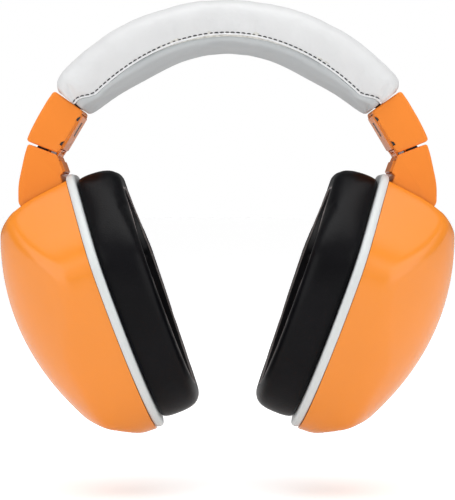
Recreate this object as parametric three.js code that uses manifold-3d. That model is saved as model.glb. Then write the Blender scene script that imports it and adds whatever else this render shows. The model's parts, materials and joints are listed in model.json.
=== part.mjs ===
// Earmuff hearing protector for a child: a padded spring headband, a telescopic end block and a folding arm
// on each side, and two hard ear cups with soft ear cushions.
// Units are millimetres, +Z is up and +Y points to the back of the head. The origin is where the crown of
// the head meets the headband pad. The right half is modelled and the left half is its mirror image.
import * as THREE from "three";
import { mergeVertices } from "three/addons/utils/BufferGeometryUtils.js";
import Module from "manifold-3d";

const wasm = await Module();
wasm.setup();
const radians = THREE.MathUtils.degToRad;

// ---------------------------------------------------------------- driving dimensions
const GAP = 0.3; // between pieces that touch

// Headband pad: an arch about an axis along Y. Its sections are drawn at equal steps of angle.
const PAD_OUTER_R = 81.2;
const PAD_SEAM_R = 68.0;
const PAD_INNER_R = 64.3;
const PAD_END = radians(50.25);
const PAD_STEPS = 15; // facets between its last two sections
const PAD_HALF_WIDTH = 18.5;
const PAD_END_HALF_WIDTH = 14.5;
const COVER = 1.0; // thickness of the leatherette covers
const ARCH_Z = -PAD_INNER_R * Math.cos(PAD_END / (PAD_STEPS + 1));

// Steel core of the headband.
const CORE_R = 67.4;
const CORE_THICK = 1.0;
const CORE_HALF_WIDTH = 8;
const CORE_END = radians(44);

// Slide of the end block: a straight steel strip, tangent to the arch.
const SLIDE_ANGLE = radians(56);
const SLIDE_R = 70;
const STRIP_HALF_WIDTH = 7;
const STRIP_THICK = 1.2;
const STRIP_TOP = 31.5;
const STRIP_BOTTOM = -5.5;
const GUIDE_BOTTOM = 8.6;
const GUIDE_TOP = 33;

// End block, in the slide's frame: x away from the head, z up along the slide.
const BLOCK_HALF_WIDTH = 12.2;
const BLOCK_ROUND = 1.1;
const BLOCK = { topIn: [-4.8, 6.5], topOut: [7.6, 6.8], bottomOut: [6.1, -12.8], bottomIn: [-5.7, -10.5] };

// Fold hinge between block and arm, in the slide's frame.
const HINGE = [-4.0, -11.4];
const KNUCKLE_R = 1.9;
const HINGE_PIN_R = 1.0;
const KNUCKLE_SPLIT = 6; // the arm's knuckle is inside this, the block's are outside it
const KNUCKLE_END = 9.4;

// Ear cup frame: x out of the cup, z up along its rim, leaning in at the bottom.
const CUP_POSITION = [41.35, 0, -89.55];
const CUP_TILT = radians(19.5);
const CUP_WIDEST_Z = 9.5;
const CUP_HALF_WIDTH = 38;
const CUP_RISE = 42; // from the widest place to the top of the side curve, which the flat top cuts off
const CUP_DROP = 56.5;
const CUP_TOP = 37; // flat top, above the widest place
const SHOULDER = { normal: [0.752, 0.659], distance: 34.1, blend: 5 };
const DOME = { apex: 34.4, z: 7.25, lengthR: 79, crossR: 28.5 };
const TOP_BEVEL = { normal: [0.41, 0.912], distance: 46.4 }; // planes that trim the dome, in x and z
const BOTTOM_BEVEL = { normal: [0.559, -0.829], distance: 43.1 };
const CHIN = 1.15; // how much lower the shell reaches at its bottom than the ring and the cushion
const CUP_WALL = 2.4;

// Rings between the cup and the head, as depths along the cup's x axis.
const RING_FACE = -3.1;
const PLATE_FACE = -4.6;
const CUSHION_BACK = RING_FACE - 0.3;
const CUSHION_FACE = -18.5;
const CUSHION_OUTSET = 1.6; // how far the cushion's side lies inside the cup's outline
const CUSHION_WIDTH = 12;

// Pivot of the cup in the arm, in the cup's frame.
const PIVOT = [8.9, 36];
const PIVOT_PIN_R = 1.3;
const LUG_HALF_WIDTH = 4;
const ARM_HALF_WIDTH = 12.2;
const ARM_SEAT_Z = 43.6; // height of the arm's foot at the rim, above the cup's centre
const SEAT_SLOPE = -0.123;
const SEAT_CLEARANCE = 1.5;
const SEAT_END = 20.8;

// ---------------------------------------------------------------- solids and booleans
// A geometry marked closed already shares its corners between faces.
function toSolid(geometry) {
  const bare = new THREE.BufferGeometry().setAttribute("position", geometry.getAttribute("position"));
  const shared = geometry.userData.closed ? geometry : mergeVertices(bare.setIndex(geometry.index), 1e-4);
  return new wasm.Manifold(
    new wasm.Mesh({
      numProp: 3,
      vertProperties: new Float32Array(shared.attributes.position.array),
      triVerts: new Uint32Array(shared.index.array),
    }),
  );
}

function closedGeometry(positions, faces) {
  const geometry = new THREE.BufferGeometry()
    .setAttribute("position", new THREE.BufferAttribute(new Float32Array(positions), 3))
    .setIndex(new THREE.BufferAttribute(new Uint32Array(faces), 1));
  geometry.userData.closed = true;
  return geometry;
}

function toGeometry(solid) {
  const mesh = solid.getMesh();
  return closedGeometry(mesh.vertProperties, mesh.triVerts);
}

const join = (...pieces) => toGeometry(pieces.map(toSolid).reduce((a, b) => a.add(b)));
const common = (...pieces) => toGeometry(pieces.map(toSolid).reduce((a, b) => a.intersect(b)));
const cut = (body, ...tools) =>
  toGeometry(tools.map(toSolid).reduce((a, b) => a.subtract(b), toSolid(body)));

// A closed surface through rows of points, each row a closed loop of as many points.
// The rows form a ring if loop is true. If not, a fan closes the first and last row.
function skin(rows, loop = false, poles = [centre(rows[0]), centre(rows.at(-1))]) {
  const width = rows[0].length;
  const points = rows.flat();
  const faces = [];
  const bands = loop ? rows.length : rows.length - 1;
  for (let i = 0; i < bands; i++) {
    const here = i * width;
    const next = ((i + 1) % rows.length) * width;
    for (let j = 0; j < width; j++) {
      const k = (j + 1) % width;
      faces.push(here + j, here + k, next + k, here + j, next + k, next + j);
    }
  }
  if (!loop) {
    const first = points.push(poles[0], poles[1]) - 2;
    const lastRow = (rows.length - 1) * width;
    for (let j = 0; j < width; j++) {
      const k = (j + 1) % width;
      faces.push(k, j, first);
      faces.push(lastRow + j, lastRow + k, first + 1);
    }
  }
  if (signedVolume(points, faces) < 0) faces.reverse();
  return closedGeometry(points.flatMap((p) => p.toArray()), faces);
}

function centre(row) {
  const sum = row.reduce((total, p) => total.add(p), new THREE.Vector3());
  return sum.divideScalar(row.length);
}

function signedVolume(points, faces) {
  let volume = 0;
  for (let i = 0; i < faces.length; i += 3) {
    const [a, b, c] = faces.slice(i, i + 3).map((n) => points[n]);
    volume += a.dot(b.clone().cross(c)) / 6;
  }
  return volume;
}

// A shape drawn in x and z, given thickness from y0 to y1, with its long edges rounded by bevel.
function slab(shape, y0, y1, bevel = 0, bevelSegments = 1, curveSegments = 3) {
  return new THREE.ExtrudeGeometry(shape, {
    depth: y1 - y0 - 2 * bevel,
    bevelEnabled: bevel > 0,
    bevelThickness: bevel,
    bevelSize: bevel,
    bevelOffset: -bevel,
    bevelSegments,
    curveSegments,
  })
    .rotateX(Math.PI / 2)
    .translate(0, y1 - bevel, 0);
}

// A polygon whose corners are rounded to the radius given, or to each corner's own third value.
function rounded(corners, radius) {
  const shape = new THREE.Shape();
  const points = corners.map(([x, z]) => new THREE.Vector2(x, z));
  points.forEach((p, i) => {
    const before = points.at(i - 1).clone().sub(p);
    const after = points[(i + 1) % points.length].clone().sub(p);
    const reach = Math.min(corners[i][2] ?? radius, before.length() / 2.1, after.length() / 2.1);
    const from = before.setLength(reach).add(p);
    const to = after.setLength(reach).add(p);
    if (i === 0) shape.moveTo(from.x, from.y);
    else shape.lineTo(from.x, from.y);
    shape.quadraticCurveTo(p.x, p.y, to.x, to.y);
  });
  return shape;
}

const polygon = (points) => new THREE.Shape(points.map(([x, z]) => new THREE.Vector2(x, z)));

const box = (x0, x1, y0, y1, z0, z1) =>
  new THREE.BoxGeometry(x1 - x0, y1 - y0, z1 - z0).translate((x0 + x1) / 2, (y0 + y1) / 2, (z0 + z1) / 2);

// A round bar along Y, through the point x, z.
const barY = (r, y0, y1, x, z, sides = 12) =>
  new THREE.CylinderGeometry(r, r, y1 - y0, sides).translate(x, (y0 + y1) / 2, z);

// A round bar along X, through the point y, z.
const barX = (r, x0, x1, y, z, sides = 10) =>
  new THREE.CylinderGeometry(r, r, x1 - x0, sides).rotateZ(-Math.PI / 2).translate((x0 + x1) / 2, y, z);

// A screw along X with its round head at x0 and its tip at x1.
const SCREW_HEAD_R = 2.0;
const SCREW_SHANK_R = 0.9;
const SCREW_HEAD_HEIGHT = 1.0;
function screw(x0, x1, y, z, headR = SCREW_HEAD_R) {
  const neck = x0 + SCREW_HEAD_HEIGHT * Math.sign(x1 - x0);
  const head = barX(headR, Math.min(x0, neck), Math.max(x0, neck), y, z);
  const shank = barX(SCREW_SHANK_R, Math.min(neck - 0.1, x1), Math.max(neck, x1), y, z);
  const slot = box(x0 - 0.4, x0 + 0.4, y - 0.25, y + 0.25, z - 0.7 * headR, z + 0.7 * headR);
  return cut(join(head, shank), slot);
}

// ---------------------------------------------------------------- materials
const plain = (color, roughness, metalness = 0) =>
  new THREE.MeshStandardMaterial({ color, roughness, metalness });
const material = {
  orange: plain(0xf5853a, 0.28),
  whiteCover: plain(0xe9ebeb, 0.55),
  greyCover: plain(0xb4b8ba, 0.5),
  ring: plain(0xd5dadc, 0.45),
  blackCover: plain(0x1b191c, 0.45),
  foam: plain(0x3a3a3d, 0.95),
  padFoam: plain(0xd8d6cf, 0.95),
  blackPlastic: plain(0x202022, 0.6),
  steel: plain(0xb8babd, 0.3, 1),
};

// ---------------------------------------------------------------- headband (fixed body)
const archPoint = (r, y, angle) =>
  new THREE.Vector3(r * Math.sin(angle), y, ARCH_Z + r * Math.cos(angle));

// The pad is fuller either side of the crown, and rounds off at its ends.
function padSection(angle, inset) {
  const along = Math.abs(angle) / PAD_END;
  const flank = Math.exp(-(((Math.abs(angle) - radians(28.5)) / radians(13.5)) ** 2));
  const endCurve = Math.sqrt(Math.max(0, 1 - Math.max(0, (along - 0.93) / 0.07) ** 2));
  const fill = 0.68 + 0.32 * endCurve;
  const taper = THREE.MathUtils.lerp(PAD_HALF_WIDTH, PAD_END_HALF_WIDTH, along ** 3);
  const halfWidth = taper * (0.85 + 0.15 * endCurve);
  const seam = PAD_SEAM_R + 2 * THREE.MathUtils.smoothstep(along, 0.85, 1);
  return {
    along,
    halfWidth: halfWidth - inset,
    seam,
    up: (PAD_OUTER_R - seam) * fill - inset,
    down: (seam - PAD_INNER_R + 2 * flank) * fill - inset,
  };
}

const SECTION_UPPER = 7;
const SECTION_LOWER = 5;
const END_SKEW = 0.0009; // leans the ends of the pad to meet the end blocks
const SQUARENESS = 2 / 3.2; // exponent of the superellipse that a section follows

function padRow(angle, inset) {
  const { halfWidth, seam, up, down, along } = padSection(angle, inset);
  const row = [];
  const arc = (from, count, height) => {
    for (let i = 0; i < count; i++) {
      const t = from + (Math.PI * i) / count;
      const y = halfWidth * Math.sign(Math.cos(t)) * Math.abs(Math.cos(t)) ** SQUARENESS;
      const r = seam + height * Math.sign(Math.sin(t)) * Math.abs(Math.sin(t)) ** SQUARENESS;
      row.push(archPoint(r, y, angle * (1 + END_SKEW * (r - PAD_SEAM_R) * along ** 8)));
    }
  };
  arc(0, SECTION_UPPER, up);
  arc(Math.PI, SECTION_LOWER, down);
  return row;
}

function padBody(inset) {
  const end = PAD_END - inset / PAD_OUTER_R;
  const facet = (2 * PAD_END) / (PAD_STEPS + 1);
  const angles = [];
  for (let i = 0; i <= PAD_STEPS + 1; i++) angles.push(-PAD_END + facet * i);
  angles[0] = -end;
  angles[angles.length - 1] = end;
  angles.splice(1, 0, -PAD_END * 0.97);
  angles.splice(-1, 0, PAD_END * 0.97);
  return skin(angles.map((angle) => padRow(angle, inset)));
}

// A round bar across the arch, between two radii.
const radialBar = (r, r0, r1, angle) =>
  barX(r, r0, r1, 0, 0).rotateY(angle - Math.PI / 2).translate(0, 0, ARCH_Z);

// A strip bent along the arch between two radii.
function archStrip(r0, r1, halfWidth, halfAngle, steps) {
  const rows = [];
  for (let i = 0; i <= steps; i++) {
    const angle = -halfAngle + (2 * halfAngle * i) / steps;
    rows.push([
      archPoint(r0, -halfWidth, angle),
      archPoint(r0, halfWidth, angle),
      archPoint(r1, halfWidth, angle),
      archPoint(r1, -halfWidth, angle),
    ]);
  }
  return skin(rows);
}

// The frame of the slide, as a matrix from its own axes to the part's.
const slideMatrix = new THREE.Matrix4().compose(
  archPoint(SLIDE_R, 0, SLIDE_ANGLE),
  new THREE.Quaternion().setFromAxisAngle(new THREE.Vector3(0, 1, 0), SLIDE_ANGLE - Math.PI / 2),
  new THREE.Vector3(1, 1, 1),
);
const mirrorX = new THREE.Matrix4().makeScale(-1, 1, 1);
const inSlide = (geometry) => geometry.clone().applyMatrix4(slideMatrix);

function mirrored(geometry) {
  const copy = toGeometry(toSolid(geometry)).applyMatrix4(mirrorX);
  copy.index.array.reverse();
  return copy;
}

// Plastic sleeve that the strip slides in, with a foot down to the core.
const GUIDE_HALF = 2.1;
const GUIDE_HALF_WIDTH = 9.2;
const FOOT = { x0: -7.4, z0: 20, z1: 25, halfWidth: 3.5 };
const RIVET_ANGLE = radians(38.2);
const SPRING_WINDOW = { z0: 9.8, z1: 17.4, halfWidth: 2.6 };

function guideBlank(grow) {
  const [halfX, halfY] = [GUIDE_HALF + grow, GUIDE_HALF_WIDTH + grow];
  const sleeve = box(-halfX, halfX, -halfY, halfY, GUIDE_BOTTOM - grow, GUIDE_TOP + grow);
  const footY = FOOT.halfWidth + grow;
  const foot = box(FOOT.x0, 0, -footY, footY, FOOT.z0 - grow, FOOT.z1 + grow);
  return join(sleeve, foot);
}

function sliderGuide() {
  const channel = box(-STRIP_THICK / 2 - GAP, STRIP_THICK / 2 + GAP, -STRIP_HALF_WIDTH - GAP,
    STRIP_HALF_WIDTH + GAP, 0, GUIDE_TOP - 0.8);
  const { z0, z1, halfWidth } = SPRING_WINDOW;
  const window = box(0, 5, -halfWidth, halfWidth, z0, z1);
  const aboveCore = archStrip(CORE_R - 30, CORE_R + CORE_THICK + GAP, 30, CORE_END, 24);
  const rivetHole = radialBar(1.5, 60, 70.6, RIVET_ANGLE);
  return cut(inSlide(cut(guideBlank(0), channel, window)), aboveCore, rivetHole);
}

// Rivet that holds the guide's foot to the core.
function rivet() {
  const head = radialBar(2.4, CORE_R - 1.1, CORE_R - GAP, RIVET_ANGLE);
  return join(head, radialBar(1.2, CORE_R - 0.8, 70.3, RIVET_ANGLE));
}

// Bowed leaf in the guide's window. It presses on the strip and holds the height that the wearer sets.
function dragSpring() {
  const { z0, z1, halfWidth } = SPRING_WINDOW;
  const middle = (z0 + z1) / 2;
  const leaf = polygon([
    [1.5, z0 + GAP], [0.95, middle - 1], [0.95, middle + 1],
    [1.5, z1 - GAP], [1.9, z1 - GAP], [1.35, middle], [1.9, z0 + GAP],
  ]);
  return inSlide(slab(leaf, -halfWidth + GAP, halfWidth - GAP));
}

function coreStrip() {
  const strip = archStrip(CORE_R, CORE_R + CORE_THICK, CORE_HALF_WIDTH, CORE_END, 16);
  const hole = radialBar(1.5, 60, 70, RIVET_ANGLE);
  return cut(strip, hole, mirrored(hole));
}

function padCovers() {
  const hollow = cut(padBody(0), padBody(COVER));
  const mouth = inSlide(box(-3, 3, -STRIP_HALF_WIDTH - 1, STRIP_HALF_WIDTH + 1, -4, 16));
  const shell = cut(hollow, mouth, mirrored(mouth));
  const below = (r) => archStrip(20, r, 40, radians(62), 24);
  return {
    outer: cut(shell, below(PAD_SEAM_R + GAP)),
    inner: common(shell, below(PAD_SEAM_R)),
  };
}

function padFoam() {
  const outside = CORE_R + CORE_THICK + GAP;
  const around = archStrip(CORE_R - GAP, outside, CORE_HALF_WIDTH + GAP, CORE_END + 0.01, 16);
  const rivetHead = radialBar(2.7, CORE_R - 1.5, CORE_R, RIVET_ANGLE);
  const guideSpace = inSlide(guideBlank(GAP + 0.2));
  const spring = inSlide(box(0, 2.6, -3, 3, 9, 20));
  const exit = inSlide(box(-2.6, 2.6, -9.7, 9.7, -10, 12));
  const spaces = [guideSpace, spring, exit, rivetHead];
  return cut(padBody(COVER + GAP), around, ...spaces, ...spaces.map(mirrored));
}

// ---------------------------------------------------------------- end block (slides on the headband)
function slideStrip() {
  const strip = slab(
    rounded([[-STRIP_HALF_WIDTH, STRIP_BOTTOM], [STRIP_HALF_WIDTH, STRIP_BOTTOM],
      [STRIP_HALF_WIDTH, STRIP_TOP], [-STRIP_HALF_WIDTH, STRIP_TOP]], 2),
    -STRIP_THICK / 2, STRIP_THICK / 2,
  ).rotateZ(Math.PI / 2);
  return cut(strip, ...BLOCK_SCREWS.map(([y, z]) => barX(SCREW_SHANK_R + GAP, -2, 2, y, z)));
}

const BLOCK_SCREWS = [[0, 2.6], [0, -2.8]];
const PLATE_HALF_WIDTH = 10.9;
const PLATE_OUTLINE = [[-5.3, 5.2], [-1.6, 5.2], [-1.6, -6.6], [-3.0, -8.6], [-6.1, -8.6]];

function blockOuter() {
  const outline = [BLOCK.topIn, BLOCK.topOut, BLOCK.bottomOut, BLOCK.bottomIn];
  const body = slab(rounded(outline, BLOCK_ROUND), -BLOCK_HALF_WIDTH, BLOCK_HALF_WIDTH, 0.6);
  const pocket = box(-9, 3.6, -PLATE_HALF_WIDTH - GAP, PLATE_HALF_WIDTH + GAP, -7.4, 4.6);
  const plateSeat = slab(
    polygon([[-9, 5.6], [-1.3, 5.6], [-1.3, -6.6], [-2.7, -9.0], [-9, -9.0]]),
    -PLATE_HALF_WIDTH - GAP, PLATE_HALF_WIDTH + GAP,
  );
  const mouth = box(-1.2, 1.2, -STRIP_HALF_WIDTH - GAP, STRIP_HALF_WIDTH + GAP, 0, 9);
  const armRoom = barY(KNUCKLE_R + 0.5, -KNUCKLE_SPLIT - GAP, KNUCKLE_SPLIT + GAP, ...HINGE, 16);
  const bosses = BLOCK_SCREWS.map(([y, z]) =>
    cut(barX(2.2, 1.2, 4.2, y, z), barX(SCREW_SHANK_R + GAP, 0, 3.4, y, z)));
  const shell = cut(body, pocket, plateSeat, mouth);
  const knuckles = [-1, 1].map((side) => {
    const [y0, y1] = [KNUCKLE_SPLIT, KNUCKLE_END].map((y) => y * side).sort((a, b) => a - b);
    const web = box(HINGE[0] - KNUCKLE_R + 0.1, HINGE[0] + KNUCKLE_R, y0, y1, HINGE[1], HINGE[1] + 2.3);
    return join(barY(KNUCKLE_R, y0, y1, ...HINGE), web);
  });
  const pinHole = barY(HINGE_PIN_R + GAP, -KNUCKLE_END - 1, KNUCKLE_END + 1, ...HINGE, 12);
  return cut(join(cut(shell, armRoom), ...knuckles, ...bosses), pinHole);
}

function blockInner() {
  const plate = slab(rounded(PLATE_OUTLINE, 0.8), -PLATE_HALF_WIDTH, PLATE_HALF_WIDTH, 0.3);
  const holes = BLOCK_SCREWS.flatMap(([y, z]) => [
    barX(SCREW_SHANK_R + GAP, -9, 0, y, z),
    barX(SCREW_HEAD_R + GAP, -9, -3.4, y, z),
  ]);
  return cut(plate, ...holes);
}

const blockScrew = ([y, z]) => screw(-4.8, 3.2, y, z);
const hingePin = () => barY(HINGE_PIN_R, -KNUCKLE_END + 0.4, KNUCKLE_END - 0.4, ...HINGE, 12);

// ---------------------------------------------------------------- folding arm
// The arm is drawn in the cup's frame, so that its foot is parallel to the cup's seat.
const cupMatrix = new THREE.Matrix4().compose(
  new THREE.Vector3(...CUP_POSITION),
  new THREE.Quaternion().setFromAxisAngle(new THREE.Vector3(0, 1, 0), CUP_TILT),
  new THREE.Vector3(1, 1, 1),
);
const slideToCup = cupMatrix.clone().invert().multiply(slideMatrix);
const hingeInCup = new THREE.Vector3(HINGE[0], 0, HINGE[1]).applyMatrix4(slideToCup);
const seatZ = (x) => ARM_SEAT_Z + SEAT_SLOPE * x;

const ARM_OUTLINE = [
  [1.4, seatZ(1.4), 0.8],
  [1.4, 48, 0.5],
  [-0.2, 48.6, 0.6],
  [-0.1, 55.1, 0.8],
  [8.2, 62.2, 0.9],
  [10.6, 59, 1.5],
  [16.3, 49.8, 5],
  [18.4, 43.6, 1.2],
  [17.6, seatZ(17.6), 0.6],
];

const ARM_SCREWS = [[0, 50.9]];
const ARM_SCREW_HEAD_R = 1.3;
const LUG_R = 3.6;

function armOuter() {
  const body = slab(rounded(ARM_OUTLINE, 1), -ARM_HALF_WIDTH, ARM_HALF_WIDTH, 0.5);
  const lug = join(
    barY(LUG_R, -LUG_HALF_WIDTH, LUG_HALF_WIDTH, ...PIVOT, 16),
    box(PIVOT[0] - LUG_R, PIVOT[0] + LUG_R, -LUG_HALF_WIDTH, LUG_HALF_WIDTH, PIVOT[1], seatZ(0) + 2),
  );
  const at = [hingeInCup.x, hingeInCup.z];
  const knuckle = join(
    barY(KNUCKLE_R, -KNUCKLE_SPLIT + GAP, KNUCKLE_SPLIT - GAP, ...at, 16),
    box(at[0] - 1.2, at[0] + KNUCKLE_R, -KNUCKLE_SPLIT + GAP, KNUCKLE_SPLIT - GAP, at[1] - 2.4, at[1]),
  );
  const blockRoom = [-1, 1].map((side) => {
    const ends = [KNUCKLE_SPLIT - GAP, KNUCKLE_END + GAP].map((y) => y * side).sort((a, b) => a - b);
    return barY(KNUCKLE_R + 0.5, ...ends, ...at, 16);
  });
  const seat = slab(armPlateOutline(GAP), -PLATE_HALF_WIDTH - GAP, PLATE_HALF_WIDTH + GAP);
  const pivotHole = barY(PIVOT_PIN_R + GAP, -LUG_HALF_WIDTH - 1, LUG_HALF_WIDTH + 1, ...PIVOT);
  const pinHole = barY(HINGE_PIN_R + GAP, -KNUCKLE_END, KNUCKLE_END, ...at, 12);
  const screwHoles = ARM_SCREWS.map(([y, z]) => barX(SCREW_SHANK_R + GAP, -2, 7.5, y, z));
  const shell = cut(body, seat, ...blockRoom, ...screwHoles);
  return cut(join(shell, lug, knuckle), pivotHole, pinHole);
}

// The cover plate on the arm's inner side.
function armPlateOutline(grow) {
  const inner = -0.7 - 3 * grow;
  const outer = 1.2 + grow;
  return polygon([[inner, 48.8 - grow], [outer, 48.8 - grow], [outer, 53 + grow], [inner, 53 + grow]]);
}

function armInner() {
  const plate = slab(armPlateOutline(0), -PLATE_HALF_WIDTH, PLATE_HALF_WIDTH);
  const holes = ARM_SCREWS.flatMap(([y, z]) => [
    barX(SCREW_SHANK_R + GAP, -3, 9, y, z),
    barX(ARM_SCREW_HEAD_R + GAP, -3, 0.5, y, z),
  ]);
  return cut(plate, ...holes);
}

const armScrew = ([y, z]) => screw(-0.6, 7, y, z, ARM_SCREW_HEAD_R);
const pivotPin = () => barY(PIVOT_PIN_R, -8.4, 8.4, ...PIVOT);

// ---------------------------------------------------------------- ear cup
// Smooth least and greatest of two lengths, rounding the corner between them by about k.
function smoothMin(a, b, k) {
  const h = Math.max(k - Math.abs(a - b), 0);
  return Math.min(a, b) - (h * h) / (4 * k);
}
const smoothMax = (a, b, k) => -smoothMin(-a, -b, k);

// Distance from the cup's widest place to its rim, in the direction theta: 0 is +Y and 90 degrees is up.
// The outline is a shield: a flat top, two straight shoulders and a side that narrows to the bottom.
function rimRadius(theta) {
  const c = Math.abs(Math.cos(theta));
  const s = Math.sin(theta);
  const power = s > 0 ? 2 : 1.75;
  const height = s > 0 ? CUP_RISE : CUP_DROP;
  const side = ((c / CUP_HALF_WIDTH) ** power + Math.abs(s / height) ** power) ** (-1 / power);
  const top = s > 0.1 ? CUP_TOP / s : Infinity;
  const lean = SHOULDER.normal[0] * c + SHOULDER.normal[1] * s;
  const shoulder = lean > 0.1 ? SHOULDER.distance / lean : Infinity;
  return smoothMin(smoothMin(side, shoulder, SHOULDER.blend), top, 3);
}

// How far a point lies outside the cup's outer surface: a side wall with a little draft, a dome that meets
// it in a crease, sharp round the top and faded towards the bottom, and bevels at the top and the bottom.
const DRAFT = 0.12;
function cupDistance(x, y, z) {
  const up = z - CUP_WIDEST_Z;
  const r = Math.hypot(y, up);
  const theta = Math.atan2(up, Math.abs(y));
  const low = Math.max(0, -Math.sin(theta));
  const wall = r - rimRadius(theta) - CHIN * low ** 6 + DRAFT * (1 - low) * x;
  const [alongZ, across] = [(z - DOME.z) / DOME.lengthR, y / DOME.crossR];
  const height = DOME.apex - (alongZ * (z - DOME.z) + across * y) / 2;
  const dome = (x - height) / Math.hypot(1, alongZ, across);
  const bevel = (plane) => plane.normal[0] * x + plane.normal[1] * z - plane.distance;
  const fade = THREE.MathUtils.smoothstep(5 - z, 0, 25);
  const face = smoothMax(smoothMax(dome, bevel(TOP_BEVEL), 3), bevel(BOTTOM_BEVEL), 1.5);
  return smoothMax(wall, face, 2 - 0.8 * low + 9 * fade * (1 - low ** 4));
}

// The cup's surface, inset by some amount and closed by a flat base at x = base.
function cupDome(inset, base, around, rings) {
  const start = new THREE.Vector3(base, 0, CUP_WIDEST_Z);
  const reach = (phi, theta) => {
    const out = Math.sin(phi);
    const d = new THREE.Vector3(Math.cos(phi), out * Math.cos(theta), out * Math.sin(theta));
    let [near, far] = [0, 90];
    for (let i = 0; i < 30; i++) {
      const middle = (near + far) / 2;
      const p = d.clone().multiplyScalar(middle).add(start);
      if (cupDistance(p.x, p.y, p.z) + inset > 0) far = middle;
      else near = middle;
    }
    return d.multiplyScalar(near).add(start);
  };
  const rows = [];
  for (let i = 0; i < rings; i++) {
    const phi = (Math.PI / 2) * (1 - i / rings);
    const row = [];
    for (let j = 0; j < around; j++) row.push(reach(phi, (2 * Math.PI * (j + 0.5)) / around));
    rows.push(row);
  }
  return skin(rows, false, [start, reach(0, 0)]);
}

// A ring that follows the cup's outline: its section is drawn as inset from the outline, and depth x.
function rimRing(section, around = 32) {
  const rows = [];
  for (let j = 0; j < around; j++) {
    const theta = (2 * Math.PI * (j + 0.5)) / around;
    const rim = rimRadius(theta);
    rows.push(section.map(([inset, x]) => {
      const r = rim - inset;
      return new THREE.Vector3(x, r * Math.cos(theta), CUP_WIDEST_Z + r * Math.sin(theta));
    }));
  }
  return skin(rows, true);
}

// Screws that hold the ring to the cup, at these directions round the rim.
const CUP_SCREW_ANGLES = [-38, 218, 28, 152].map(radians);
const CUP_SCREW_INSET = 6.2;
const BOSS_R = 3;
const BOSS_TOP = 16;
const cupScrewPlace = (theta) => {
  const r = rimRadius(theta) - CUP_SCREW_INSET;
  return [r * Math.cos(theta), CUP_WIDEST_Z + r * Math.sin(theta)];
};
const CUP_SCREWS = CUP_SCREW_ANGLES.map(cupScrewPlace);

function cupShell() {
  const outer = cupDome(0, 0, 36, 9);
  const inner = cupDome(CUP_WALL, -0.5, 32, 6);
  const seatFloor = (x) => seatZ(x) - SEAT_CLEARANCE;
  const seat = slab(
    polygon([[-1, seatFloor(-1)], [SEAT_END, seatFloor(SEAT_END)], [SEAT_END, 60], [-1, 60]]),
    -ARM_HALF_WIDTH - 0.8, ARM_HALF_WIDTH + 0.8,
  );
  const slotX = LUG_R + 1.3;
  const slotFoot = PIVOT[1] - LUG_R - 1;
  const slotY = LUG_HALF_WIDTH + 0.5;
  const lugSlot = box(PIVOT[0] - slotX, PIVOT[0] + slotX, -slotY, slotY, slotFoot, 50);
  const cheeks = box(PIVOT[0] - slotX - 1.6, PIVOT[0] + slotX + 1.6, -9, 9, slotFoot - 1.8, 42);
  const floor = slab(
    polygon([[0.4, 39.5], [SEAT_END + 3, 36.5], [SEAT_END + 3, seatFloor(26)], [0.4, seatFloor(0.4)]]),
    -ARM_HALF_WIDTH - 3, ARM_HALF_WIDTH + 3,
  );
  const bosses = CUP_SCREWS.map(([y, z]) => barX(BOSS_R, 0.3, BOSS_TOP, y, z, 10));
  const inside = common(join(cheeks, floor, ...bosses), cupDome(0.8, 0.2, 24, 6));
  const screwHoles = CUP_SCREWS.map(([y, z]) => barX(SCREW_SHANK_R + GAP, -1, 9.5, y, z, 10));
  const pinHole = barY(PIVOT_PIN_R + GAP, -8.8, 8.8, ...PIVOT);
  return cut(join(cut(outer, inner), inside), seat, lugSlot, pinHole, ...screwHoles);
}

// White ring between the cup and the cushion, with a spigot inside the cup's wall.
function trimRing() {
  const spigot = CUP_WALL + 1.1;
  const ring = rimRing([
    [-0.1, -GAP], [-0.8, -0.8], [-0.9, -1.9], [-0.3, -2.9], [0.8, RING_FACE],
    [10.5, RING_FACE], [10.5, -0.8], [spigot + 1.4, -0.6],
    [spigot + 1.4, 2.2], [spigot, 2.2], [spigot, -GAP],
  ]);
  const bossRoom = CUP_SCREWS.map(([y, z]) => barX(BOSS_R + 0.4, -GAP, 3, y, z, 10));
  const seatRoom = box(-GAP, 5, -ARM_HALF_WIDTH - 4, ARM_HALF_WIDTH + 4, 36, 60);
  const holes = CUP_SCREWS.flatMap(([y, z]) => [
    barX(SCREW_SHANK_R + GAP, -5, 3, y, z, 10),
    barX(SCREW_HEAD_R + GAP, -5, RING_FACE + 1.4, y, z),
  ]);
  return cut(ring, seatRoom, ...bossRoom, ...holes);
}

const cupScrew = ([y, z]) => screw(RING_FACE + 0.05, 8.5, y, z);

// Stiff ring that carries the cushion. The skin wraps round its edges.
const SKIN = 0.8;
const INNER_EDGE = CUSHION_OUTSET + CUSHION_WIDTH;
const PLATE_EDGE = CUSHION_OUTSET + SKIN + 1 + GAP;
const PLATE_HOLE = INNER_EDGE - SKIN - GAP;
const cushionPlate = () =>
  rimRing([[PLATE_EDGE, RING_FACE - GAP], [PLATE_HOLE, RING_FACE - GAP], [PLATE_HOLE, PLATE_FACE],
    [PLATE_EDGE, PLATE_FACE]]);

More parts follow.
